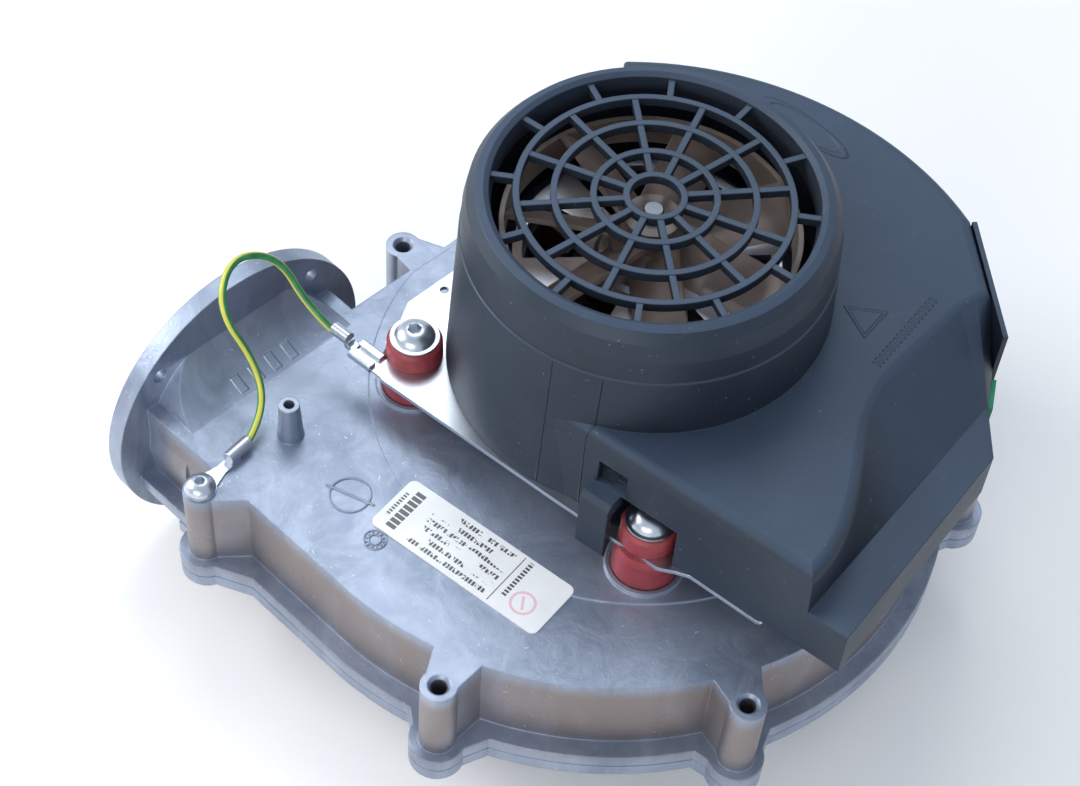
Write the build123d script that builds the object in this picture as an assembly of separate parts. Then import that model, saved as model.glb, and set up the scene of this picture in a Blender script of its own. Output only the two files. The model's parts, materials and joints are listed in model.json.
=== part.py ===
from build123d import *
import os
from math import atan2, cos, degrees, hypot, radians, sin, tan

# Combustion fan of a condensing boiler: die-cast volute with a round outlet
# flange, and a mains motor with its electronics under one black cover,
# carried on a sheet plate and four rubber isolators.
# The shaft is the Z axis. z = 0 is the inlet face underneath, and the outlet blows towards -X.

# ------------------------------------------------------------------ driving sizes (mm)
DECK_Z = 40.0            # flat top of the volute
LEDGE_Z = 10.0           # top of the rim that carries the inlet cover
SPLIT_Z = 5.0            # joint between the two castings
CAST_WALL = 3.0
SCROLL_START_R = 81.5    # outer wall radius at the cut-off, 180 degrees
SCROLL_GROWTH = 0.131    # mm of radius per degree
RIM_WIDTH = 5.7

DUCT_OUT_Y = -118.3      # outer walls of the discharge duct
DUCT_IN_Y = -44.5
DUCT_IN_X = -82.0
FLANGE_X = -94.0         # back face of the outlet flange
FLANGE_T = 6.0
FLANGE_R = 49.0
OUTLET_Y = -81.5
OUTLET_Z = 21.0
NECK_R = 37.5
OUTLET_R = 27.0
FLANGE_PCD = 86.0
RAMP_X = -77.2
CROWN_RISE = 31.5        # height of the neck's crown over the outlet's centre

INLET_R = 31.0
INLET_PCD = 84.0

BOSS_R = 5.6
BOSS_HOLE_FLOOR = 22.0   # blind hole from above; the casing screw sits below it
CASING_SCREW_TOP = 20.6
BOSS_PLACES = {          # screw bosses around the volute
    "earth": (-59.5, -125.3),
    "front": (39.0, -119.0),
    "corner": (103.5, -58.5),
    "back": (-91.5, -13.5),
    "side": (92.0, 60.0),
    "rear": (-8.0, 103.0),
}

IMPELLER_R = 65.0
IMPELLER_BLADES = 12
SHAFT_R = 4.0
SHAFT_TIP_R = 3.1

PLATE_T = 1.5
PLATE_TOP = 55.5
ISOLATOR_R = 68.2        # isolators stand on this circle
ISOLATOR_ANGLE = -42.5
HEAD_TILT = 8.0          # the motor head is turned by this much about the shaft

COVER_BASE_R = 58.6
COVER_TOP_R = 55.8
COVER_WALL = 2.2
GRILLE_Z = 126.0
GRILLE_RINGS = (8.35, 17.8, 29.2, 40.0)
GRILLE_RIB = 1.9
GRILLE_DEPTH = 3.0
GRILLE_SPOKES = 12
GRILLE_PHASE = 22.5
BOX_TOP = 90.0
BOX_LIP = 73.0
BOX_ROUND = 4.0

BOX_BASE = 55.6
POCKET_TOP = 71.0
POCKETS = ((0, -82.0), (2, 220.0))   # isolator number, direction the pocket opens
BOX_RIGHT = 111.7        # right side of the electronics box, in the head's frame
BOX_FRONT = -56.5
BOX_ARC_CENTRE = (10.6, -5.8)
BOX_ARC_R = 108.2
BOX_ARC_END = 139.0      # direction of the box's rear end, seen from the arc's centre
PANEL_ENDS = ((50.5, 94.8), (86.8, 64.4))
BACK_CORNER = (94.6, 52.2)
PCB_Z = 61.0
PCB_T = 1.6

FASTON_ROOT = (-47.0, -61.5)
FASTON_ANGLE = 184.0
COVER_T = 4.6            # inlet cover thickness
PLATFORM_H = 0.5

WIRE_R = 1.2
SOCKET_SIZE = (11.5, 10.0, 8.5)
SOCKET_PINS = 3
LABEL_SIZE = (62.5, 20.6)
LABEL_PLACE = (13.5, -81.8)
LABEL_ANGLE = 7.5

os.makedirs("parts", exist_ok=True)


# ------------------------------------------------------------------ helpers
def polar(radius, angle):
    return (radius * cos(radians(angle)), radius * sin(radians(angle)))


def head(u, v):
    """A point of the motor head's own turned frame, in the fan's frame."""
    c, s = cos(radians(HEAD_TILT)), sin(radians(HEAD_TILT))
    return (c * u - s * v, s * u + c * v)


def disc(radius, z0, z1, x=0.0, y=0.0):
    return Pos(x, y, z0) * extrude(Circle(radius), amount=z1 - z0)


def tube(outer, inner, z0, z1, x=0.0, y=0.0):
    return disc(outer, z0, z1, x, y) - disc(inner, z0 - 1, z1 + 1, x, y)


def cone(r0, r1, z0, z1, x=0.0, y=0.0):
    return Pos(x, y, z0) * Cone(r0, r1, z1 - z0, align=(Align.CENTER, Align.CENTER, Align.MIN))


def block(x0, x1, y0, y1, z0, z1):
    return Pos((x0 + x1) / 2, (y0 + y1) / 2, (z0 + z1) / 2) * Box(x1 - x0, y1 - y0, z1 - z0)


def prism(points, z0, z1):
    return Pos(0, 0, z0) * extrude(make_face(Polyline(*points, close=True)), amount=z1 - z0)


def turned(points):
    """Solid of revolution about Z from a closed (r, z) outline."""
    face = make_face(Polyline(*[(r, 0, z) for r, z in points], close=True))
    return revolve(face, Axis.Z, 360)


def around(piece, count, start=0.0):
    return [Rot(0, 0, start + 360.0 * k / count) * piece for k in range(count)]


def save(node, shape):
    group = shape if isinstance(shape, list) else [shape]
    pieces = [solid for item in group for solid in item.solids()]
    shape = pieces[0] if len(pieces) == 1 else Compound(children=pieces)
    shape.label = node
    export_step(shape, f"parts/{node}.step")


# ------------------------------------------------------------------ volute
def scroll_radius(angle):
    """Outer wall of the volute; the angle falls from 180 to -90 along the flow."""
    return SCROLL_START_R + SCROLL_GROWTH * (180.0 - angle)


def volute_face(grow, end_x):
    """Plan outline of the volute and its duct, grown outwards by grow."""
    start = (-(SCROLL_START_R + grow), 0.0)
    spiral = Spline(*[polar(scroll_radius(a) + grow, a) for a in range(180, -91, -15)])
    last = polar(scroll_radius(-90) + grow, -90)
    duct = Polyline(
        last,
        (end_x, DUCT_OUT_Y - grow),
        (end_x, DUCT_IN_Y + grow),
        (DUCT_IN_X - grow, DUCT_IN_Y + grow),
        start,
    )
    return make_face([spiral, duct])


def web(place, width, root_width, reach, z0, z1):
    """Tapered web from a boss towards the shaft."""
    x, y = place
    turn = degrees(atan2(-y, -x))
    points = [(0, -width / 2), (reach, -root_width / 2), (reach, root_width / 2), (0, width / 2)]
    face = make_face(Polyline(*points, close=True))
    return Pos(x, y, z0) * Rot(0, 0, turn) * extrude(face, amount=z1 - z0)


def lobes(radius, width, root_width, reach, z0, z1):
    shapes = []
    for place in BOSS_PLACES.values():
        shapes.append(disc(radius, z0, z1, *place))
        shapes.append(web(place, width, root_width, reach, z0, z1))
    return shapes


def neck(radius, crown, ramp_x, overlap):
    """Round outlet neck whose top and bottom ramp down to the flat duct."""
    half = DECK_Z - OUTLET_Z
    back = ramp_x + overlap
    sag = (crown - half) * 0.12 + 0.8
    mid_x = (ramp_x + FLANGE_X) / 2
    mid_h = (half + crown) / 2 - sag
    side = [
        Line((back, -half), (back, half)),
        Line((back, half), (ramp_x, half)),
        ThreePointArc((ramp_x, half), (mid_x, mid_h), (FLANGE_X, crown)),
        Line((FLANGE_X, crown), (FLANGE_X - 1, crown)),
        Line((FLANGE_X - 1, crown), (FLANGE_X - 1, -crown)),
        Line((FLANGE_X - 1, -crown), (FLANGE_X, -crown)),
        ThreePointArc((FLANGE_X, -crown), (mid_x, -mid_h), (ramp_x, -half)),
        Line((ramp_x, -half), (back, -half)),
    ]
    profile = Plane.XZ * make_face(side)
    slab = Pos(0, OUTLET_Y + 60, OUTLET_Z) * extrude(profile, amount=120)
    barrel = Pos(FLANGE_X - 5, OUTLET_Y, OUTLET_Z) * Rot(0, 90, 0) * Cylinder(
        radius, 60, align=(Align.CENTER, Align.CENTER, Align.MIN))
    return slab & barrel


def duct_bore():
    """Air way from the rectangular throat to the round outlet, and the outlet's own bore."""
    throat_w = DUCT_IN_Y - DUCT_OUT_Y - 2 * CAST_WALL
    throat_h = DECK_Z - CAST_WALL - SPLIT_Z
    mid_y = (DUCT_IN_Y + DUCT_OUT_Y) / 2
    mid_z = SPLIT_Z + throat_h / 2
    throat = Plane((RAMP_X + 1, mid_y, mid_z), x_dir=(0, 1, 0), z_dir=(-1, 0, 0))
    middle = Plane((RAMP_X - 7.8, OUTLET_Y, OUTLET_Z), x_dir=(0, 1, 0), z_dir=(-1, 0, 0))
    outlet = Plane((FLANGE_X + 2, OUTLET_Y, OUTLET_Z), x_dir=(0, 1, 0), z_dir=(-1, 0, 0))
    way = loft([
        throat * RectangleRounded(throat_w - 0.1, throat_h - 0.1, 9),
        middle * RectangleRounded(61, 39, 17),
        outlet * Circle(OUTLET_R),
    ])
    mouth = Pos(FLANGE_X + 2.5, OUTLET_Y, OUTLET_Z) * Rot(0, -90, 0) * Cylinder(
        OUTLET_R, FLANGE_T + 5, align=(Align.CENTER, Align.CENTER, Align.MIN))
    return [way, mouth]


def casting_marks():
    """Two round date stamps, raised a little above the deck."""
    x, y = -27.5, -93.7
    z0, z1 = DECK_Z - 1, DECK_Z + 0.35
    bar = Pos(x, y, 0) * Rot(0, 0, 20) * block(-8.2, 8.2, -0.3, 0.3, z0, z1)
    big = tube(6.5, 6.1, z0, z1, x, y) + bar
    x, y = -10.3, -99.1
    small = tube(3.6, 3.3, z0, z1, x, y) + tube(2.0, 1.7, z0, z1, x, y)
    for k in range(12):
        small += Pos(x, y, 0) * Rot(0, 0, 30 * k) * block(2.3, 3.0, -0.2, 0.2, z0, z1)
    return big + small


def volute_housing():
    body = Pos(0, 0, LEDGE_Z) * extrude(volute_face(0, FLANGE_X), amount=DECK_Z - LEDGE_Z)
    rim = Pos(0, 0, SPLIT_Z) * extrude(volute_face(RIM_WIDTH, FLANGE_X - 2), amount=LEDGE_Z - SPLIT_Z)
    solid = body + rim
    solid += lobes(8.6, 17, 42, 16, SPLIT_Z, LEDGE_Z)
    solid += lobes(BOSS_R, 9.5, 17, 14, LEDGE_Z - 1, DECK_Z)
    hollow = Pos(0, 0, SPLIT_Z - 1) * extrude(
        volute_face(-CAST_WALL, RAMP_X), amount=DECK_Z - CAST_WALL - SPLIT_Z + 1)
    solid -= hollow
    solid += neck(NECK_R, CROWN_RISE, RAMP_X, 1.0)
    flange = Pos(FLANGE_X - FLANGE_T, OUTLET_Y, OUTLET_Z) * Rot(0, 90, 0) * Cylinder(
        FLANGE_R, FLANGE_T, align=(Align.CENTER, Align.CENTER, Align.MIN))
    solid += flange
    for cut in duct_bore():
        solid -= cut
    # raised motor platform, isolator seats and the threaded post
    platform = disc(82.5, DECK_Z - 1, DECK_Z + PLATFORM_H) & (
        Pos(0, 0, DECK_Z - 1) * extrude(volute_face(-1.5, RAMP_X), amount=4))
    solid += platform
    for k in range(4):
        x, y = polar(ISOLATOR_R, ISOLATOR_ANGLE + 90 * k)
        solid += tube(12.0, 10.4, DECK_Z, DECK_Z + 1.6, x, y)
        solid -= disc(2.0, DECK_Z - 12, DECK_Z + 3, x, y)
    solid += cone(4.2, 3.2, DECK_Z - 1, DECK_Z + 15, -57.0, -91.8)
    solid += casting_marks()
    solid -= disc(1.7, DECK_Z + 3, DECK_Z + 16, -57.0, -91.8)
    for place in BOSS_PLACES.values():
        solid -= disc(2.5, BOSS_HOLE_FLOOR, DECK_Z + 1, *place)
        solid -= disc(2.5, SPLIT_Z - 1, CASING_SCREW_TOP, *place)
        solid -= cone(2.5, 3.4, DECK_Z - 1.2, DECK_Z + 0.01, *place)
    # flange screw holes, blind from the front
    for angle in (45, 135, 225, 315):
        y, z = polar(FLANGE_PCD / 2, angle)
        solid -= Pos(FLANGE_X - FLANGE_T - 0.1, OUTLET_Y + y, OUTLET_Z + z) * Rot(0, 90, 0) * Cylinder(
            2.5, FLANGE_T + 0.2, align=(Align.CENTER, Align.CENTER, Align.MIN))
    # shaft hole and seal seat
    solid -= disc(7.0, DECK_Z - 10, DECK_Z + 5)
    return solid


def inlet_cover():
    """Lower casting with the bell-mouthed inlet and its tapped holes."""
    plate = extrude(volute_face(RIM_WIDTH, RAMP_X + 1.6), amount=COVER_T)
    plate += lobes(8.6, 17, 42, 16, 0, COVER_T)
    plate -= disc(38, -1, COVER_T + 1)
    relief = extrude(volute_face(-2.5, RAMP_X + 6), amount=1.0) - disc(52, -1, 2)
    plate -= relief
    bell = turned([
        (38, 0), (38, COVER_T), (35.2, 5.4), (33.4, 7.4), (INLET_R + 1.6, 9.9), (INLET_R, 9.9),
        (INLET_R, 5.5), (INLET_R + 0.7, 3.4), (INLET_R + 2.2, 1.4), (INLET_R + 4.4, 0)])
    plate += bell
    for angle in (45, 135, 225, 315):
        plate -= disc(2.5, -1, COVER_T + 1, *polar(INLET_PCD / 2, angle))
    for place in BOSS_PLACES.values():
        plate -= disc(2.5, -1, COVER_T + 1, *place)
        plate -= disc(4.4, -1, 2.6, *place)
    return plate


def housing_gasket():
    ring = extrude(volute_face(RIM_WIDTH - 1.2, RAMP_X + 1.6), amount=SPLIT_Z - COVER_T)
    ring -= extrude(volute_face(-CAST_WALL, RAMP_X + 4.6), amount=SPLIT_Z - COVER_T)
    ring = Pos(0, 0, COVER_T) * ring
    for place in BOSS_PLACES.values():
        ring -= disc(3.0, COVER_T - 1, SPLIT_Z + 1, *place)
    return ring


def torx_screw(head_r, head_h, shank_r, z_seat, length, x=0.0, y=0.0, up=True, flange=0.0):
    """Domed screw; the head stands on z_seat and the shank runs the other way."""
    rise = head_h
    profile = [
        Line((0, 0), (head_r, 0)),
        Line((head_r, 0), (head_r, 0.25 * rise)),
        ThreePointArc((head_r, 0.25 * rise), (0.72 * head_r, 0.8 * rise), (0.3 * head_r, rise)),
        Line((0.3 * head_r, rise), (0, rise)),
        Line((0, rise), (0, 0)),
    ]
    cap = revolve(Plane.XZ * make_face(profile), Axis.Z, 360)
    socket = Pos(0, 0, 0.35 * rise) * extrude(
        RegularPolygon(0.36 * head_r, 6), amount=rise)
    screw = cap - socket + disc(shank_r, -length, 0.01)
    if flange:
        screw += disc(flange, 0, 0.9)
    if not up:
        screw = Rot(180, 0, 0) * screw
    return Pos(x, y, z_seat) * screw


# ------------------------------------------------------------------ rotor
def impeller_region(low):
    """Space between the shroud and the back disc, as a revolved outline."""
    return turned([(33.8, 12.2 + low), (65, 17.6 + low), (65, 30), (33.8, 30)])


def impeller_blades():
    blades = []
    inner, outer, lag = 34.0, IMPELLER_R, 42.0
    for k in range(IMPELLER_BLADES):
        start = 360.0 * k / IMPELLER_BLADES
        points = [polar(inner + (outer - inner) * t, start + lag * t ** 1.2) for t in (0, 0.5, 1)]
        arc = ThreePointArc(*points)
        strip = Pos(0, 0, 10) * extrude(
            make_face(thick_curve(arc, 1.1)), amount=22)
        blades.append(strip & impeller_region(0.0))
    return blades


def thick_curve(arc, thickness):
    """Closed outline of a curved strip that follows an arc."""
    sides = []
    for sign in (1, -1):
        row = []
        for t in (0, 0.5, 1):
            p, d = arc @ t, arc % t
            row.append((p.X - sign * d.Y * thickness / 2, p.Y + sign * d.X * thickness / 2))
        sides.append(row)
    left, right = sides
    return [ThreePointArc(*left), Line(left[2], right[2]), ThreePointArc(*right), Line(right[0], left[0])]


def impeller_shroud():
    return turned([
        (33.0, 10.8), (34.0, 10.6), (65, 16.4), (65, 17.6), (33.8, 12.2), (33.0, 12.6)])


def impeller_disc():
    return tube(IMPELLER_R, 9.0, 30.0, 31.2)


def impeller_hub():
    return turned([
        (SHAFT_R, 19), (8.0, 19), (9.0, 22), (9.0, 28), (15, 28.6), (15, 30),
        (9.0, 30), (9.0, 34), (SHAFT_R, 34)])


def impeller_nut():
    nut = Pos(0, 0, 13.5) * extrude(RegularPolygon(6.5, 6), amount=5.5)
    return nut - disc(SHAFT_R, 12, 20)


def rotor_shaft():
    return turned([
        (0, 11), (SHAFT_R - 0.5, 11), (SHAFT_R, 11.5), (SHAFT_R, 108), (SHAFT_TIP_R, 108.6),
        (SHAFT_TIP_R, 121.6), (SHAFT_TIP_R - 0.4, 122), (0, 122)])


def rotor_core():
    return tube(21.0, SHAFT_R, 71, 89)


def rotor_magnets():
    """Four arc magnets round the core, with a gap between neighbours."""
    ring = tube(23.6, 21.0, 71.5, 88.5)
    for k in range(2):
        ring -= Rot(0, 0, 45 + 90 * k) * block(-30, 30, -1.0, 1.0, 70, 90)
    return ring


def cooling_fan():
    hub = turned([(SHAFT_TIP_R, 108.6), (12, 107), (12, 109), (8.8, 111), (8.4, 119), (SHAFT_TIP_R, 119)])
    rim = turned([(42.2, 106), (44.0, 106), (44.4, 115), (42.8, 115)])
    zone = tube(42.9, 8.0, 105, 118)
    blades = []
    for paddle in around(Pos(25, 0, 110.5) * Rot(38, 0, 0) * Box(38, 17, 1.3), 7, 10):
        blades.append(paddle & zone)
    fan = hub + rim
    for blade in blades:
        fan += blade
    return fan


# ------------------------------------------------------------------ motor
def lower_shield():
    cup = turned([
        (11, 58.5), (13.2, 58.5), (13.2, 55.5), (46, 55.5), (46, 72), (43.5, 72),
        (43.5, 58.5), (14.5, 58.5), (14.5, 66), (11, 66)])
    for place in motor_screw_places():
        cup -= disc(2.0, 50, 62, *place)
    return cup


def upper_shield():
    """Pressed shield with a bearing boss and six vent windows."""
    cup = turned([
        (11, 93), (14.5, 93), (14.5, 98.5), (39, 98.5), (43.5, 94), (43.5, 88),
        (46, 88), (46, 95), (40, 101.2), (16, 101.2), (14.5, 102.5), (11, 102.5)])
    window = (tube(37, 19, 97, 103) & prism([(0, 0), polar(60, -19), polar(60, 19)], 96, 104))
    for hole in around(window, 6, 30):
        cup -= hole
    return cup


def bearing(z0):
    outer = turned([(11, z0), (11, z0 + 7), (9.2, z0 + 7), (9.2, z0), (11, z0)][:4])
    inner = turned([(SHAFT_R + 0.03, z0), (5.8, z0), (5.8, z0 + 7), (SHAFT_R + 0.03, z0 + 7)])
    middle = tube(9.2, 5.8, z0 + 0.6, z0 + 6.4)
    return outer + middle + inner


def stator_core():
    core = tube(43.5, 36.5, 66.5, 93.5)
    tooth = block(26, 37, -3.2, 3.2, 68.5, 91.5)
    shoe = tube(26.8, 24.4, 68.5, 91.5) & prism([(0, 0), polar(40, -24), polar(40, 24)], 68, 92)
    for piece in around(tooth + shoe, 6):
        core += piece
    return core


def stator_coils():
    coil = block(27.6, 35.4, -7.4, 7.4, 66.8, 93.2) - block(27, 36.5, -3.6, 3.6, 68.1, 91.9)
    coil = fillet(coil.edges().filter_by(Axis.X), 1.2)
    return around(coil, 6)


def motor_screw_places():
    return [polar(37.5, 12 + 90 * k) for k in range(4)]


def motor_screws():
    return [torx_screw(3.6, 2.4, 2.0, PLATE_TOP - PLATE_T, 5.6, x, y, up=False)
            for x, y in motor_screw_places()]


def isolator_places():
    return [polar(ISOLATOR_R, ISOLATOR_ANGLE + 90 * k) for k in range(4)]


# ------------------------------------------------------------------ plate and isolators
def mounting_plate():
    """Zinc-plated sheet that carries the motor and the electronics box."""
    z0, z1 = PLATE_TOP - PLATE_T, PLATE_TOP
    outline = [
        (-62.5, -38), (-58, -46), (-55.5, -54), (-50.2, -57.2), (-49.2, -61.5), (-45.5, -65.0),
        head(16, -60.0), head(46, -60.5), head(52, -60.4), head(57, -58.0), head(61, -56.6),
        head(86, -57.2), head(86, -52), head(106, -52), head(107.5, 22), (90.5, 50.5), (84, 60.5),
        (49.5, 90.0), (-62.5, 52)]
    plate = prism(outline, z0, z1)
    corners = plate.edges().filter_by(Axis.Z)
    plate = fillet(corners, 1.8)
    plate += Pos(0, 0, z0) * extrude(
        make_face([ThreePointArc(*[arc_point(4.5, a) for a in (66, 100, BOX_ARC_END)]),
                   Line(arc_point(4.5, BOX_ARC_END), (-50, 40)), Line((-50, 40), arc_point(4.5, 66))]),
        amount=PLATE_T)
    plate -= disc(20, z0 - 1, z1 + 1)
    for x, y in isolator_places():
        plate -= disc(6.0, z0 - 1, z1 + 1, x, y)
    for place in motor_screw_places():
        plate -= disc(2.0, z0 - 1, z1 + 1, *place)
    plate -= disc(1.4, z0 - 1, z1 + 1, -58.5, -26.0)
    # blade for the earth lead's push-on terminal
    tab = Pos(*FASTON_ROOT, 0) * Rot(0, 0, FASTON_ANGLE) * block(-2, 12, -3.15, 3.15, z1 - 0.8, z1)
    return plate + tab


def isolator_rubbers():
    rubbers = []
    z0, z1 = PLATE_TOP - PLATE_T, PLATE_TOP
    profile = [
        (4.0, DECK_Z + 0.8), (9.6, DECK_Z + 0.8), (10.2, DECK_Z + 1.8), (10.2, z0 - 2.4), (9.4, z0),
        (6.0, z0), (6.0, z1), (8.6, z1), (8.9, z1 + 1.2), (8.7, z1 + 6.2), (8.0, z1 + 7.4), (4.0, z1 + 7.4)]
    for x, y in isolator_places():
        rubbers.append(Pos(x, y, 0) * turned(profile))
    return rubbers


def isolator_sleeves():
    return [tube(4.0, 2.0, DECK_Z + 0.8, PLATE_TOP + 7.4, x, y) for x, y in isolator_places()]


def isolator_screws():
    seat = PLATE_TOP + 7.4
    return [torx_screw(6.4, 4.2, 2.0, seat, seat - DECK_Z + 2.7, x, y, flange=7.7)
            for x, y in isolator_places()]


def shaft_seal():
    return turned([(4.5, 40.8), (12, 40.8), (12, 42.4), (8, 43.2), (8, 45), (4.5, 45)])


# ------------------------------------------------------------------ cover
def arc_point(inset, angle):
    dx, dy = polar(BOX_ARC_R - inset, angle)
    return (BOX_ARC_CENTRE[0] + dx, BOX_ARC_CENTRE[1] + dy)


def box_outline(inset, level):
    """Plan of the electronics box at the lid, at the foot of its sloping flank, or at the base."""
    front = BOX_FRONT + inset
    cx, cy = BOX_ARC_CENTRE
    (ax, ay), (bx, by) = PANEL_ENDS
    arc_start = degrees(atan2(ay - cy, ax - cx))
    arc = [arc_point(inset, a) for a in (arc_start, 100.0, BOX_ARC_END)]
    start = head(8, front)
    panel_corner = (bx - 0.75 * inset, by - 0.75 * inset)
    back_corner = (BACK_CORNER[0] - inset, BACK_CORNER[1] - 0.5 * inset)
    if level == "lid":
        corner = head(97.5 - inset, front)
        bend = [(97.0, -16.5), (86.2, -0.8), (76.6, 13.8), (72.0, 31.0), (71.0, 52.0), (70.0, 64.0)]
        side = [corner] + [(x - inset, y) for x, y in bend]
        meet = (72.0 - 0.7 * inset, 76.8 - 0.7 * inset)
        middle = (71.2 - 0.8 * inset, 71.0 - 0.5 * inset)
        run = [Spline(*side), Line(side[-1], middle), Line(middle, meet)]
        panel_corner = meet
    else:
        right = 98.5 if level == "flank" else BOX_RIGHT
        corner = head(right - inset, front)
        last = head(100.5 - inset, 37.0) if level == "flank" else head(BOX_RIGHT - inset, 23.5)
        run = [Line(corner, last), Line(last, back_corner), Line(back_corner, panel_corner)]
    end = polar(50, BOX_ARC_END)
    return make_face([
        Line(start, corner), *run, Line(panel_corner, arc[0]),
        ThreePointArc(*arc), Line(arc[2], end), Line(end, start)])


def cover_block(inset, floor_z):
    """Outer or inner form of the electronics box."""
    top = BOX_TOP - inset
    lip = BOX_LIP - inset
    low = Pos(0, 0, floor_z) * extrude(box_outline(inset, "base"), amount=lip - floor_z)
    flank = box_outline(inset, "flank")
    foot = Pos(0, 0, floor_z) * extrude(flank, amount=lip - floor_z)
    slope = loft([Pos(0, 0, lip) * flank, Pos(0, 0, top) * box_outline(inset, "lid")], ruled=True)
    return low + foot + slope


def isolator_pocket(number, facing, grow):
    """Recess in a wall of the box round an isolator; facing is the way it opens."""
    x, y = isolator_places()[number]
    radius = 11.0 + grow
    top = POCKET_TOP + grow
    mouth = block(0, 20, -radius, radius, BOX_BASE - 2, top)
    return disc(radius, BOX_BASE - 2, top, x, y) + Pos(x, y, 0) * Rot(0, 0, facing) * mouth


def snap_hook():
    """Sprung leg that grips the plate's edge from outside."""
    leg = [(-55.5, 66), (-55.5, 71), (-60.9, 71), (-62.6, 69.2), (-62.6, 47.5), (-61.6, 46),
           (-60.4, 50.5), (-57.6, 53.7), (-60.9, 53.7), (-60.9, 66)]
    profile = make_face(Polyline(*[(0, v, z) for v, z in leg], close=True))
    return Rot(0, 0, HEAD_TILT) * Pos(24.5, 0, 0) * extrude(profile, amount=10, dir=(1, 0, 0))


def motor_cover():
    base = BOX_BASE
    t = COVER_WALL
    outer = turned([
        (0, base), (COVER_BASE_R, base), (COVER_TOP_R + 0.2, 110.5), (COVER_TOP_R - 0.3, 110.9),
        (COVER_TOP_R - 0.5, 119), (54.2, 125), (51.8, 128.2), (49.4, 129), (47.8, 128), (47.0, 124), (0, 124)])
    inner = turned([
        (0, base - 1), (COVER_BASE_R - t, base - 1), (COVER_TOP_R - t, 112), (COVER_TOP_R - t - 0.5, 119),
        (51.5, 124.5), (50.2, 125.6), (49.4, 124.6), (49.2, 121), (0, 121)])
    well = turned([(0, 115), (47.0, 115), (47.0, 124), (47.6, 130), (0, 130)])
    box = cover_block(0, base)
    lid_edges = box.edges().filter_by(lambda e: e.bounding_box().min.Z > BOX_TOP - 0.01)
    box = fillet(lid_edges, BOX_ROUND)
    shell = outer + box
    shell -= inner
    shell -= cover_block(t, base - 1)
    shell -= well
    for number, facing in POCKETS:
        lining = isolator_pocket(number, facing, 1.8) & box
        shell += lining - disc(COVER_BASE_R - t, base - 1, 80)
        shell -= isolator_pocket(number, facing, 0)
    shell -= Rot(0, 0, HEAD_TILT) * block(26, 36, BOX_FRONT - 2, BOX_FRONT + t + 1, 71.5, 81)
    w, d, h = SOCKET_SIZE
    shell -= socket_frame(block(-w / 2 - 0.4, w / 2 + 0.4, -d - 0.4, 3, -0.4, h + 0.4))
    shell += snap_hook()
    z1 = GRILLE_Z + GRILLE_DEPTH / 2
    z0 = GRILLE_Z - GRILLE_DEPTH / 2
    half = GRILLE_RIB / 2
    for r in GRILLE_RINGS:
        shell += tube(r + half, r - half, z0, z1)
    ring0, ring3 = GRILLE_RINGS[0], GRILLE_RINGS[-1]
    for k in range(GRILLE_SPOKES):
        angle = GRILLE_PHASE + 360.0 * k / GRILLE_SPOKES
        shell += Rot(0, 0, angle) * block(ring0, ring3, -half, half, z0 + 0.2, z1 - 0.2)
        shell += Rot(0, 0, angle + 15) * block(ring3, 48.4, -half, half, z0 + 0.2, z1 - 0.2)
    return shell


# ------------------------------------------------------------------ electronics
def side_panel():
    """Flat lid on the flank of the box, between its round back and its socket."""
    (ax, ay), (bx, by) = PANEL_ENDS
    length = hypot(bx - ax, by - ay)
    turn = degrees(atan2(by - ay, bx - ax))
    panel = block(0.5, length - 0.5, 0.05, 1.6, 57, BOX_TOP - 1.5)
    return Pos(ax, ay, 0) * Rot(0, 0, turn) * panel


def circuit_board():
    board = Pos(0, 0, PCB_Z) * extrude(box_outline(3.6, "base"), amount=PCB_T)
    sector = prism([(0, 0), polar(200, -34), polar(260, 15), polar(200, 66)], PCB_Z - 1, PCB_Z + 3)
    board = (board & sector) - disc(62.5, PCB_Z - 1, PCB_Z + 3)
    for x, y in isolator_places():
        board -= disc(14.5, PCB_Z - 1, PCB_Z + 3, x, y)
    return board


def socket_frame(shape):
    """Put a shape drawn at the origin, facing +Y, on the wall where the leads plug in."""
    (x0, y0), (x1, y1) = BACK_CORNER, PANEL_ENDS[1]
    turn = degrees(atan2(y1 - y0, x1 - x0)) + 180
    return Pos((x0 + x1) / 2, (y0 + y1) / 2, PCB_Z + PCB_T) * Rot(0, 0, turn) * shape


def supply_connector():
    """Open-ended header on the board that faces out through the box wall."""
    w, d, h = SOCKET_SIZE
    shell = block(-w / 2, w / 2, -d, 1.8, 0, h)
    shell -= block(-w / 2 + 1, w / 2 - 1, -d + 1.5, 3, 1, h - 1)
    step = (w - 4) / (SOCKET_PINS - 1)
    for k in range(SOCKET_PINS):
        a = -w / 2 + 2 + step * k
        shell += block(a - 0.4, a + 0.4, -d + 1, -4.5, h / 2 - 0.4, h / 2 + 0.4)
    return socket_frame(shell)


def rating_label():
    w, h = LABEL_SIZE
    label = Pos(*LABEL_PLACE, DECK_Z) * Rot(0, 0, LABEL_ANGLE) * extrude(
        RectangleRounded(w, h, 2.2), amount=PLATFORM_H + 0.15)
    return label - disc(82.5, DECK_Z - 1, DECK_Z + PLATFORM_H)


# ------------------------------------------------------------------ earth lead
# Points of the lead from the ring terminal's barrel to the push-on terminal's barrel.
WIRE_POINTS = [
    (-61.9, -104.6, 43.2), (-64.6, -95.4, 47.2), (-74.1, -90.1, 57.6), (-84.8, -95.0, 77.7),
    (-94.3, -81.5, 83.8), (-90.7, -66.3, 75.5), (-78.0, -65.7, 61.7), (-68.9, -64.0, 57.4),
]


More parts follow.
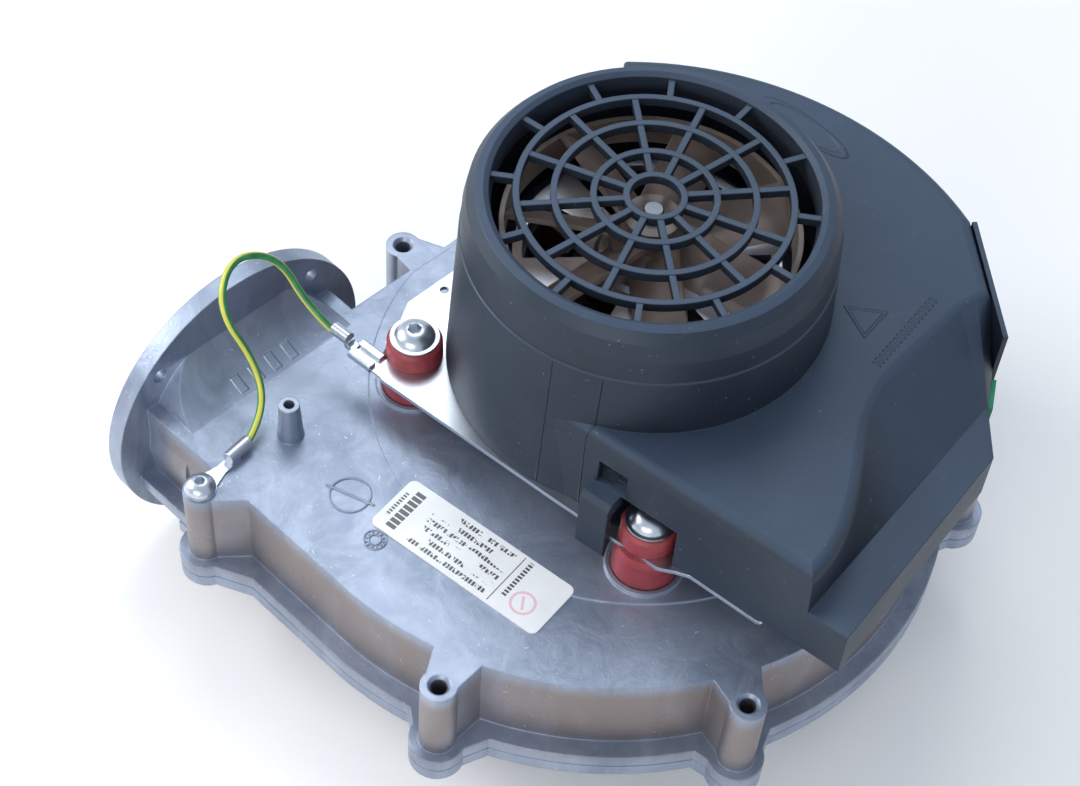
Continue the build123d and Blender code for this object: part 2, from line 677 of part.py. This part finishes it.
def wire_path():
    corners = [Vector(*p) for p in WIRE_POINTS]
    radii = []
    for before, corner, after in zip(corners, corners[1:], corners[2:]):
        one, two = corner - before, after - corner
        half = radians(one.get_angle(two)) / 2
        radii.append(0.45 * min(one.length, two.length) / tan(half))
    print("wire radii", [round(r, 1) for r in radii])
    return FilletPolyline(*WIRE_POINTS, radius=radii)


def earth_wire():
    path = wire_path()
    start = Plane(origin=path @ 0, z_dir=path % 0)
    tube_solid = sweep(start * Circle(WIRE_R), path=path)
    print("wire length", round(path.length, 1), "volume ratio",
          round(tube_solid.volume / (3.14159 * WIRE_R ** 2 * path.length), 4))
    return tube_solid


def ring_terminal():
    x, y = BOSS_PLACES["earth"]
    ex, ey, ez = WIRE_POINTS[0]
    turn = degrees(atan2(ey - y, ex - x))
    reach = hypot(ex - x, ey - y)
    z = DECK_Z
    flat = disc(4.9, 0, 0.8) + prism([(2, -3.6), (9, -1.8), (9, 1.8), (2, 3.6)], 0, 0.8)
    flat -= disc(2.5, -1, 2)
    neck_part = prism([(8.5, -1.8), (13, -1.8), (13, 1.8), (8.5, 1.8)], 0, 0.8)
    barrel = Pos(12, 0, ez - z) * Rot(0, 90, 0) * Cylinder(
        2.1, reach - 12, align=(Align.CENTER, Align.CENTER, Align.MIN))
    neck_part += block(12, 16, -1.6, 1.6, 0, ez - z)
    return Pos(x, y, z) * Rot(0, 0, turn) * (flat + neck_part + barrel)


def faston_receptacle():
    """Push-on terminal with rolled sides over the plate's blade."""
    z1 = PLATE_TOP
    ex, ey, ez = WIRE_POINTS[-1]
    reach = hypot(ex - FASTON_ROOT[0], ey - FASTON_ROOT[1])
    body = block(3.5, 12.5, -3.9, 3.9, z1 - 1.4, z1 + 1.5)
    body = fillet(body.edges().filter_by(Axis.X), 1.0)
    body -= block(2, 12.1, -3.15, 3.15, z1 - 0.8, z1)
    body -= block(3, 13, -0.9, 0.9, z1 - 0.4, z1 + 2)
    body += block(12.3, 16, -1.5, 1.5, z1 - 1.4, z1 + 0.4)
    body += Pos(15.5, 0, ez) * Rot(0, 90, 0) * Cylinder(
        2.1, reach - 15.5, align=(Align.CENTER, Align.CENTER, Align.MIN))
    body += block(14.5, 16.5, -1.3, 1.3, z1 - 1.2, ez)
    return Pos(*FASTON_ROOT, 0) * Rot(0, 0, FASTON_ANGLE) * body


def main():
    save("volute_housing", volute_housing())
    save("inlet_cover", inlet_cover())
    save("housing_gasket", housing_gasket())
    save("casing_screws", [torx_screw(4.2, 2.5, 2.5, 2.6, 18, x, y, up=False)
                           for x, y in BOSS_PLACES.values()])
    save("impeller_blades", impeller_blades())
    save("impeller_shroud", impeller_shroud())
    save("impeller_disc", impeller_disc())
    save("impeller_hub", impeller_hub())
    save("impeller_nut", impeller_nut())
    save("rotor_shaft", rotor_shaft())
    save("rotor_core", rotor_core())
    save("rotor_magnets", rotor_magnets())
    save("cooling_fan", cooling_fan())
    save("lower_shield", lower_shield())
    save("upper_shield", upper_shield())
    save("lower_bearing", bearing(59.0))
    save("upper_bearing", bearing(94.0))
    save("stator_core", stator_core())
    save("stator_coils", stator_coils())
    save("motor_screws", motor_screws())
    save("mounting_plate", mounting_plate())
    save("isolator_rubbers", isolator_rubbers())
    save("isolator_sleeves", isolator_sleeves())
    save("isolator_screws", isolator_screws())
    save("shaft_seal", shaft_seal())
    save("motor_cover", motor_cover())
    save("side_panel", side_panel())
    save("circuit_board", circuit_board())
    save("supply_connector", supply_connector())
    save("rating_label", rating_label())
    x, y = BOSS_PLACES["earth"]
    save("earth_screw", torx_screw(4.75, 3.6, 2.5, DECK_Z + 0.8, 11, x, y))
    save("earth_wire", earth_wire())
    save("ring_terminal", ring_terminal())
    save("faston_receptacle", faston_receptacle())


main()
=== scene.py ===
import json
import math

import bpy
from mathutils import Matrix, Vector

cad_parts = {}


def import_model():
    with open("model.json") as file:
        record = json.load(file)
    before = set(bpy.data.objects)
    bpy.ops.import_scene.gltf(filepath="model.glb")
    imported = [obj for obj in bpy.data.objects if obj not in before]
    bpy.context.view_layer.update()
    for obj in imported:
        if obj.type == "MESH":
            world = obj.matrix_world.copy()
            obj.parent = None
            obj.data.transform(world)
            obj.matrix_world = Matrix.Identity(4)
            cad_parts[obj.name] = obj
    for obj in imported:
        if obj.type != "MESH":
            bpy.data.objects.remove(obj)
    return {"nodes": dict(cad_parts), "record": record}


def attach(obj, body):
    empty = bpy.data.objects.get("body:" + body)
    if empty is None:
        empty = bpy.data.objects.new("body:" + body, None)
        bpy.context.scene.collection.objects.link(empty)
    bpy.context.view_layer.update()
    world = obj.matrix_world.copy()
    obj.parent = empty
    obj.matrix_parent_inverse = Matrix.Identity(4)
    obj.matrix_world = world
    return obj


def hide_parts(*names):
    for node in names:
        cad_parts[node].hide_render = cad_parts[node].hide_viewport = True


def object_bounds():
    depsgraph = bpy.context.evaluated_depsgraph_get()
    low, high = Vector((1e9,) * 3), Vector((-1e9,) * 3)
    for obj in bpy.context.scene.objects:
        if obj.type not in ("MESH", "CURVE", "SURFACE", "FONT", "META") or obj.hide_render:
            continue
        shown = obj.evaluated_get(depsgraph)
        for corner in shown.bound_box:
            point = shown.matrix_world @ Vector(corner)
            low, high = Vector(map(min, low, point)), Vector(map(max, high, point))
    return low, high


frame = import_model()
cad_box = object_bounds()
nodes = frame["nodes"]
scene = bpy.context.scene

MM = 0.001
# sizes and places of the part, in metres
DECK_Z = 0.040                      # flat top of the volute
BOX_TOP = 0.090                     # lid of the electronics box
HEAD_TILT = math.radians(8.0)       # turn of the motor head about the shaft
LABEL_PLACE = (0.0135, -0.0818)
LABEL_ANGLE = math.radians(7.5)
NECK_MARKS = (-0.0815, -0.0810)     # middle of the raised bars on the outlet neck
NECK_MARKS_SIZE = (0.0028, 0.0140)  # half their length, half the row
NECK_MARKS_PITCH = 0.0068
LID_TRIANGLE = (0.0545, 0.0385)
LID_OVAL = (-0.0103, 0.0850)
LID_OVAL_SIZE = (0.0160, 0.0042)    # half length and half width
MOULD_LINES = (0.0140, 0.0280)      # x of the two upright lines on the cover's cylinder
COVER_PARTING = 0.1095              # the lines end below the cover's parting line
FLANGE_BACK = -0.092


# ---------------------------------------------------------------- node helpers
class Field:
    """A number that varies over the surface, built from math nodes."""

    def __init__(self, tree, socket):
        self.tree = tree
        self.socket = socket

    def _math(self, operation, *values):
        node = self.tree.nodes.new("ShaderNodeMath")
        node.operation = operation
        for place, value in enumerate((self, *values)):
            if isinstance(value, Field):
                self.tree.links.new(value.socket, node.inputs[place])
            else:
                node.inputs[place].default_value = value
        return Field(self.tree, node.outputs[0])

    def __add__(self, other):
        return self._math("ADD", other)

    def __sub__(self, other):
        return self._math("SUBTRACT", other)

    def __mul__(self, other):
        return self._math("MULTIPLY", other)

    def __truediv__(self, other):
        return self._math("DIVIDE", other)

    def __abs__(self):
        return self._math("ABSOLUTE")

    def less(self, limit):
        return self._math("LESS_THAN", limit)

    def more(self, limit):
        return self._math("GREATER_THAN", limit)

    def within(self, limit, soft):
        """1 below the limit and 0 above it, with an edge soft enough for a bump."""
        return self.ramp(limit + soft, limit - soft)

    def root(self):
        return self._math("SQRT")

    def fract(self):
        return self._math("FRACT")

    def floor(self):
        return self._math("FLOOR")

    def largest(self, other):
        return self._math("MAXIMUM", other)

    def ramp(self, low, high):
        """0 below low, 1 above high, smooth between."""
        node = self.tree.nodes.new("ShaderNodeMapRange")
        node.interpolation_type = "SMOOTHSTEP"
        self.tree.links.new(self.socket, node.inputs["Value"])
        node.inputs["From Min"].default_value = low
        node.inputs["From Max"].default_value = high
        return Field(self.tree, node.outputs["Result"])


class Finish:
    """A Principled material with the textures that all the finishes share."""

    def __init__(self, name, **sockets):
        self.material = bpy.data.materials.new(name)
        self.material.use_nodes = True
        self.tree = self.material.node_tree
        self.tree.nodes.clear()
        output = self.tree.nodes.new("ShaderNodeOutputMaterial")
        self.shader = self.tree.nodes.new("ShaderNodeBsdfPrincipled")
        self.tree.links.new(self.shader.outputs[0], output.inputs[0])
        for socket, value in sockets.items():
            self.shader.inputs[socket.replace("_", " ")].default_value = value
        self.coordinates = self.tree.nodes.new("ShaderNodeTexCoord")
        self.normal = None

    def axes(self, output="Object"):
        split = self.tree.nodes.new("ShaderNodeSeparateXYZ")
        self.tree.links.new(self.coordinates.outputs[output], split.inputs[0])
        return [Field(self.tree, s) for s in split.outputs]

    def facing_up(self):
        geometry = self.tree.nodes.new("ShaderNodeNewGeometry")
        split = self.tree.nodes.new("ShaderNodeSeparateXYZ")
        self.tree.links.new(geometry.outputs["Normal"], split.inputs[0])
        return Field(self.tree, split.outputs[2])

    def noise(self, scale, detail=4.0, roughness=0.55, distortion=0.0, stretch=None):
        node = self.tree.nodes.new("ShaderNodeTexNoise")
        node.inputs["Scale"].default_value = scale
        node.inputs["Detail"].default_value = detail
        node.inputs["Roughness"].default_value = roughness
        node.inputs["Distortion"].default_value = distortion
        source = self.coordinates.outputs["Object"]
        if stretch:
            mapping = self.tree.nodes.new("ShaderNodeMapping")
            mapping.inputs["Scale"].default_value = stretch
            self.tree.links.new(source, mapping.inputs[0])
            source = mapping.outputs[0]
        self.tree.links.new(source, node.inputs["Vector"])
        return Field(self.tree, node.outputs[0])

    def cells(self, scale):
        node = self.tree.nodes.new("ShaderNodeTexVoronoi")
        node.inputs["Scale"].default_value = scale
        self.tree.links.new(self.coordinates.outputs["Object"], node.inputs["Vector"])
        return Field(self.tree, node.outputs["Distance"])

    def mix(self, factor, first, second):
        node = self.tree.nodes.new("ShaderNodeMix")
        node.data_type = "RGBA"
        sockets = [s for s in node.inputs if s.type == "RGBA"]
        self.tree.links.new(factor.socket, node.inputs[0])
        for socket, colour in zip(sockets, (first, second)):
            if isinstance(colour, tuple):
                socket.default_value = (*colour, 1.0)
            else:
                self.tree.links.new(colour, socket)
        return [s for s in node.outputs if s.type == "RGBA"][0]

    def colour(self, socket):
        self.tree.links.new(socket, self.shader.inputs["Base Color"])
        return self

    def roughness(self, low, high, field):
        node = self.tree.nodes.new("ShaderNodeMapRange")
        self.tree.links.new(field.socket, node.inputs["Value"])
        node.inputs["To Min"].default_value = low
        node.inputs["To Max"].default_value = high
        self.tree.links.new(node.outputs["Result"], self.shader.inputs["Roughness"])
        return self

    def soften(self, radius):
        """Rounds off the shading of sharp edges."""
        node = self.tree.nodes.new("ShaderNodeBevel")
        node.samples = 4
        node.inputs["Radius"].default_value = radius
        self.normal = node.outputs[0]
        return self

    def bump(self, field, distance, strength=1.0):
        node = self.tree.nodes.new("ShaderNodeBump")
        node.inputs["Strength"].default_value = strength
        node.inputs["Distance"].default_value = distance
        self.tree.links.new(field.socket, node.inputs["Height"])
        if self.normal:
            self.tree.links.new(self.normal, node.inputs["Normal"])
        self.normal = node.outputs[0]
        self.tree.links.new(self.normal, self.shader.inputs["Normal"])
        return self


# ---------------------------------------------------------------- finishes
def cast_aluminium():
    """Mottled die casting with flow lines, pores and nicks, with a painted warm brown reflection of a
    wooden table on its walls.
    """
    f = Finish("cast_aluminium", Metallic=0.82)
    x, y, z = f.axes()
    cloud = f.noise(22.0, 6.0, 0.6, 0.4).ramp(0.32, 0.70)
    flow = f.noise(90.0, 5.0, 0.6, 1.2, (1.0, 1.0, 0.35)).ramp(0.35, 0.75)
    skin = f.mix(cloud, (0.24, 0.28, 0.365), (0.36, 0.41, 0.51))
    skin = f.mix(flow * 0.4, skin, (0.50, 0.55, 0.64))
    # painted reflection: upright walls between about 13 and 33 mm up are painted a streaky warm
    # brown, standing in for a wooden table mirrored in them
    painted_reflection_faces = abs(f.facing_up()).ramp(0.55, 0.2)
    painted_reflection_band = z.ramp(0.006, 0.013) * z.ramp(DECK_Z + MM, 0.033) * x.ramp(FLANGE_BACK, -0.080)
    painted_reflection_streak = f.noise(30.0, 5.0, 0.6, 0.6, (1.0, 1.0, 0.25)).ramp(0.30, 0.62)
    skin = f.mix(painted_reflection_faces * painted_reflection_band * (painted_reflection_streak * 0.35 + 0.45), skin, (0.27, 0.205, 0.165))
    pits = f.cells(520.0).ramp(0.16, 0.05) * f.noise(35.0).ramp(0.52, 0.66)
    skin = f.mix(pits * 0.55, skin, (0.16, 0.17, 0.19))
    nicks = f.noise(420.0, 2.0, 0.5, 2.5).ramp(0.70, 0.76)
    skin = f.mix(nicks * 0.6, skin, (0.85, 0.87, 0.90))
    grain = f.noise(1500.0, 3.0)
    f.colour(skin).roughness(0.36, 0.52, f.noise(60.0, 5.0))
    f.soften(0.0007).bump(cloud + flow * 0.4, 0.00025, 0.5).bump(grain - pits, 0.00006, 0.7)
    f.bump(neck_marks(x, y, z), 0.5 * MM, 0.8)
    return f.material


def neck_marks(x, y, z):
    """Short raised bars in a row along the neck's crown."""
    length, row = NECK_MARKS_SIZE
    first = NECK_MARKS[1] - row
    rhythm = abs(((y - first) / NECK_MARKS_PITCH).fract() - 0.5).within(0.22, 0.05)
    bars = abs(x - NECK_MARKS[0]).within(length, 0.3 * MM) * rhythm
    return bars * abs(y - NECK_MARKS[1]).less(row) * z.more(DECK_Z + 0.5 * MM)


def bright_metal(name, tint, rough, grain=900.0):
    f = Finish(name, Metallic=1.0)
    cloud = f.noise(70.0, 4.0).ramp(0.3, 0.7)
    fine = f.noise(grain, 3.0, 0.6)
    dull = tuple(0.74 * c for c in tint)
    f.colour(f.mix(cloud * 0.6 + fine * 0.3, tint, dull))
    f.roughness(rough, rough + 0.14, f.noise(160.0, 4.0))
    f.soften(0.0003).bump(fine, 0.00002, 0.6)
    return f.material


def black_plastic():
    """Spark-eroded black moulding, painted lighter and bluer on the faces that look up as a painted
    sheen of light.
    """
    f = Finish("black_plastic", Specular_Tint=(0.74, 0.87, 1.0, 1.0), Specular_IOR_Level=0.55)
    x, y, z = f.axes()
    cloud = f.noise(16.0, 5.0, 0.6).ramp(0.3, 0.72)
    skin = f.mix(cloud, (0.010, 0.014, 0.022), (0.018, 0.025, 0.040))
    # painted sheen: faces that look up are painted a lighter blue, standing in for light falling from
    # above
    skin = f.mix(f.facing_up().ramp(0.55, 0.95) * (cloud * 0.2 + 0.6), skin, (0.052, 0.076, 0.120))
    dust = f.noise(700.0, 2.0, 0.5).ramp(0.71, 0.78)
    skin = f.mix(dust * 0.35, skin, (0.30, 0.32, 0.35))
    scuff = f.noise(140.0, 4.0, 0.7, 1.5, (1.0, 0.2, 1.0)).ramp(0.62, 0.80)
    skin = f.mix(scuff * 0.18, skin, (0.16, 0.18, 0.21))
    spark = f.noise(2600.0, 2.0, 0.5)
    f.colour(skin).roughness(0.40, 0.56, f.noise(45.0, 5.0))
    f.soften(0.0006).bump(cloud, 0.0002, 0.4).bump(spark, 0.00003, 0.8)
    f.bump(lid_marks(x, y, z).largest(mould_lines(x, y, z)), 0.5 * MM, 0.9)
    return f.material


def lid_marks(x, y, z):
    """Raised plain triangle, row of bars and oval ring on the box's lid."""
    c, s = math.cos(HEAD_TILT), math.sin(HEAD_TILT)
    # a and b are millimetres along and across the row of bars, from the triangle's middle
    dx, dy = (x - LID_TRIANGLE[0]) / MM, (y - LID_TRIANGLE[1]) / MM
    a, b = dy * c - dx * s, dx * -c - dy * s
    sides = (b * -1.0).largest(a * 0.866 + b * 0.5).largest(a * -0.866 + b * 0.5)
    triangle = abs(sides - 3.4).within(0.45, 0.25)
    rhythm = abs((a * 0.5).fract() - 0.5).within(0.26, 0.10)
    bars = abs(b + 11.9).within(1.3, 0.25) * abs(a - 3.7).less(16.8) * rhythm
    ox, oy = (x - LID_OVAL[0]) / LID_OVAL_SIZE[0], (y - LID_OVAL[1]) / LID_OVAL_SIZE[1]
    oval = abs((ox * ox + oy * oy).root() - 1.0).within(0.11, 0.05)
    return triangle.largest(bars).largest(oval) * z.more(BOX_TOP - MM)


def mould_lines(x, y, z):
    """Two fine upright lines left by the mould on the cover's cylinder."""
    first, second = [abs(x - place).within(0.2 * MM, 0.15 * MM) for place in MOULD_LINES]
    return first.largest(second) * y.less(-0.047) * z.less(COVER_PARTING) * y.more(-0.0595)


def amber_plastic():
    """Half clear plastic of the cooling fan."""
    f = Finish("amber_plastic", Transmission_Weight=0.65, IOR=1.5)
    cloud = f.noise(60.0, 4.0, 0.6, 0.5).ramp(0.3, 0.7)
    f.colour(f.mix(cloud, (0.38, 0.28, 0.23), (0.56, 0.44, 0.37)))
    f.roughness(0.24, 0.40, f.noise(120.0))
    f.soften(0.0003).bump(f.noise(500.0, 3.0), 0.00004, 0.5)
    return f.material


def silicone():
    """Brick red rubber with a little pale bloom."""
    f = Finish("silicone", Subsurface_Weight=0.12, Subsurface_Scale=0.002)
    cloud = f.noise(140.0, 4.0).ramp(0.3, 0.7)
    skin = f.mix(cloud, (0.25, 0.026, 0.034), (0.34, 0.050, 0.058))
    bloom = f.noise(420.0, 4.0, 0.7).ramp(0.60, 0.74)
    f.colour(f.mix(bloom * 0.25, skin, (0.52, 0.25, 0.22)))
    f.roughness(0.36, 0.55, f.noise(200.0))
    f.soften(0.0005).bump(f.noise(1100.0, 3.0), 0.00004, 0.6)
    return f.material


def plain_plastic(name, dark, light, rough):
    f = Finish(name)
    f.colour(f.mix(f.noise(220.0, 4.0).ramp(0.3, 0.7), dark, light))
    f.roughness(rough, rough + 0.12, f.noise(300.0))
    f.soften(0.0003).bump(f.noise(1600.0, 2.0), 0.00003, 0.6)
    return f.material


def enamelled_copper():
    """Wire turns, as fine stripes up the coils."""
    f = Finish("copper", Metallic=0.9, Roughness=0.34)
    z = f.axes()[2]
    strands = abs((z * 1700.0).fract() - 0.5)
    f.colour(f.mix(strands * 1.6, (0.22, 0.07, 0.03), (0.62, 0.26, 0.12)))
    f.bump(strands, 0.0002, 0.8)
    return f.material


def laminations():
    """Stacked sheets, as fine stripes up the cores."""
    f = Finish("laminations", Metallic=0.9)
    z = f.axes()[2]
    sheets = abs((z * 1500.0).fract() - 0.5)
    f.colour(f.mix(sheets * 1.8, (0.10, 0.10, 0.11), (0.32, 0.33, 0.35)))
    f.roughness(0.35, 0.55, f.noise(200.0)).bump(sheets, 0.0001, 0.6)
    return f.material


def board():
    """Solder mask over wandering tracks."""
    f = Finish("board", Roughness=0.32)
    x = f.axes()[0]
    tracks = abs((x * 260.0 + f.noise(60.0, 1.0) * 2.0).fract() - 0.5).less(0.12)
    f.colour(f.mix(tracks * 0.7, (0.015, 0.10, 0.045), (0.05, 0.20, 0.09)))
    f.bump(tracks, 0.00004, 0.8)
    return f.material


def insulation():
    """Green sleeve with a yellow stripe on two sides."""
    f = Finish("wire_insulation", Roughness=0.33, Coat_Weight=0.2)
    along, around = f.axes("UV")[:2]
    stripe = abs((around * 2.0 + along * 0.3).fract() - 0.5).ramp(0.20, 0.16)
    green = f.mix(f.noise(300.0).ramp(0.3, 0.7), (0.03, 0.20, 0.06), (0.06, 0.30, 0.10))
    f.colour(f.mix(stripe, green, (0.66, 0.60, 0.07)))
    f.bump(f.noise(900.0, 3.0), 0.00004, 0.5)
    return f.material


def label_film():
    """White film with rows of short dashes, a ruled column and a pink ring, and no lettering."""
    f = Finish("label_paper", Roughness=0.38, Coat_Weight=0.15)
    x, y = f.axes()[:2]
    c, s = math.cos(LABEL_ANGLE), math.sin(LABEL_ANGLE)
    # u and v are millimetres along and across the label, from its middle
    dx, dy = (x - LABEL_PLACE[0]) / MM, (y - LABEL_PLACE[1]) / MM
    u, v = dx * c + dy * s, dy * c - dx * s
    row = v / 3.05
    inside_row = abs(row.fract() - 0.5).less(0.27)
    letter = (u * 0.83 + row.floor() * 0.37).fract().less(0.72)
    wobble = f.noise(620.0, 1.0).more(0.43)
    word = f.noise(150.0, 0.0).more(0.40)
    block = u.more(-18.5) * u.less(11.0) * abs(v).less(8.6)
    ink = inside_row * letter * wobble * word * block
    bar = u.more(-27.0) * u.less(-23.6) * abs(v).less(8.0) * (v * 0.5).fract().less(0.75)
    small = u.more(-29.6) * u.less(-28.3) * abs(v).less(5.0) * (v * 0.9).fract().less(0.6)
    rule = abs(u - 13.0).less(0.16) * abs(v).less(9.4)
    side = abs(u - 15.8).less(0.8) * abs(v - 2.0).less(7.0) * (v * 0.8).fract().less(0.62)
    dark = ink.largest(bar).largest(small).largest(rule).largest(side)
    ru, rv = u - 22.0, v + 3.6
    radius = (ru * ru + rv * rv).root()
    ring = abs(radius - 3.7).less(0.42).largest(abs(ru + rv * 0.6).less(0.5) * radius.less(2.4))
    paper = f.mix(f.noise(90.0, 3.0).ramp(0.3, 0.7), (0.82, 0.83, 0.82), (0.90, 0.90, 0.89))
    paper = f.mix(ring * 0.6, paper, (0.85, 0.32, 0.42))
    f.colour(f.mix(dark * 0.92, paper, (0.03, 0.03, 0.035)))
    f.bump(f.noise(500.0, 3.0), 0.00003, 0.5)
    return f.material


FINISHES = {
    "cast_aluminium": cast_aluminium(),
    "zinc_sheet": bright_metal("zinc_sheet", (0.70, 0.74, 0.80), 0.24),
    "steel": bright_metal("steel", (0.62, 0.65, 0.70), 0.22),
    "lamination": laminations(),
    "copper": enamelled_copper(),
    "magnet": plain_plastic("magnet", (0.02, 0.02, 0.022), (0.05, 0.05, 0.052), 0.5),
    "black_plastic": black_plastic(),
    "amber_plastic": amber_plastic(),
    "silicone": silicone(),
    "seal_rubber": plain_plastic("seal_rubber", (0.012, 0.012, 0.012), (0.03, 0.03, 0.03), 0.6),
    "board": board(),
    "green_plastic": plain_plastic("green_plastic", (0.01, 0.22, 0.09), (0.02, 0.32, 0.14), 0.35),
    "label_paper": label_film(),
    "wire_insulation": insulation(),
}
shield_metal = bright_metal("shield_metal", (0.72, 0.76, 0.84), 0.30, 500.0)
OWN_FINISHES = {
    "lower_shield": shield_metal,
    "upper_shield": shield_metal,
    "rotor_shaft": bright_metal("shaft_steel", (0.30, 0.32, 0.36), 0.42, 700.0),
}

slot_of = {s["node"]: s["material_slot"] for s in frame["record"]["subparts"]}
for name, node in nodes.items():
    node.data.materials.clear()
    node.data.materials.append(OWN_FINISHES.get(name, FINISHES[slot_of[name]]))


# ---------------------------------------------------------------- earth lead
# Route from the ring terminal's barrel to the push-on terminal's barrel, in millimetres.
WIRE_POINTS = [
    (-61.9, -104.6, 43.2), (-64.6, -95.4, 47.2), (-74.1, -90.1, 57.6), (-84.8, -95.0, 77.7),
    (-94.3, -81.5, 83.8), (-90.7, -66.3, 75.5), (-78.0, -65.7, 61.7), (-68.9, -64.0, 57.4),
]
WIRE_DIAMETER = 0.0024


def earth_lead():
    curve = bpy.data.curves.new("earth_lead", "CURVE")
    curve.dimensions = "3D"
    curve.bevel_depth = WIRE_DIAMETER / 2
    curve.bevel_resolution = 6
    spline = curve.splines.new("NURBS")
    spline.points.add(len(WIRE_POINTS) - 1)
    for point, place in zip(spline.points, WIRE_POINTS):
        point.co = (*[v * MM for v in place], 1.0)
    spline.order_u = 3
    spline.use_endpoint_u = True
    spline.resolution_u = 14
    lead = bpy.data.objects.new("earth_lead", curve)
    scene.collection.objects.link(lead)
    curve.materials.append(FINISHES["wire_insulation"])
    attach(lead, "stator")
    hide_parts("earth_wire")


earth_lead()


# ---------------------------------------------------------------- floor, light and camera
FLOOR_HALF = 6.0
CAMERA_PLACE = (0.26887, -0.34579, 0.59007)
CAMERA_TURN = (37.951, -3.020, 45.364)    # degrees about X, Y and Z
CAMERA_LENS = 73.94                       # mm, on a 36 mm sensor


def floor():
    mesh = bpy.data.meshes.new("floor")
    level = cad_box[0].z - 0.5 * MM
    size = FLOOR_HALF
    corners = [(-size, -size, level), (size, -size, level), (size, size, level), (-size, size, level)]
    mesh.from_pydata(corners, [], [(0, 1, 2, 3)])
    obj = bpy.data.objects.new("floor", mesh)
    scene.collection.objects.link(obj)
    f = Finish("floor", Roughness=0.75)
    f.colour(f.mix(f.noise(3.0).ramp(0.3, 0.7), (0.96, 0.93, 0.90), (0.98, 0.95, 0.92)))
    mesh.materials.append(f.material)


def area_light(name, place, aim, size, power, colour):
    data = bpy.data.lights.new(name, "AREA")
    data.shape = "RECTANGLE"
    data.size, data.size_y = size
    data.energy = power
    data.color = colour
    light = bpy.data.objects.new(name, data)
    light.location = place
    light.rotation_mode = "QUATERNION"
    light.rotation_quaternion = (Vector(aim) - Vector(place)).to_track_quat("-Z", "Y")
    scene.collection.objects.link(light)


def world():
    w = bpy.data.worlds.new("studio")
    w.use_nodes = True
    background = w.node_tree.nodes["Background"]
    background.inputs["Color"].default_value = (0.74, 0.85, 1.0, 1.0)
    background.inputs["Strength"].default_value = 0.72
    scene.world = w


def camera():
    data = bpy.data.cameras.new("camera")
    data.sensor_width = 36.0
    data.lens = CAMERA_LENS
    data.shift_x = -0.0011
    data.clip_start, data.clip_end = 0.01, 30.0
    cam = bpy.data.objects.new("camera", data)
    cam.location = CAMERA_PLACE
    cam.rotation_euler = [math.radians(angle) for angle in CAMERA_TURN]
    scene.collection.objects.link(cam)
    scene.camera = cam


floor()
world()
area_light("back_box", (-0.63, 0.54, 1.47), (0.03, -0.03, 0.04), (0.7, 0.7), 6.0, (0.93, 0.97, 1.0))
area_light("left_box", (-1.10, -0.70, 0.80), (0.0, 0.0, 0.05), (0.8, 0.8), 14.0, (1.0, 1.0, 1.0))
area_light("front_fill", (0.50, -1.30, 0.70), (0.0, 0.0, 0.03), (0.9, 0.5), 7.0, (1.0, 0.95, 0.90))
camera()
scene.view_settings.view_transform = "Standard"
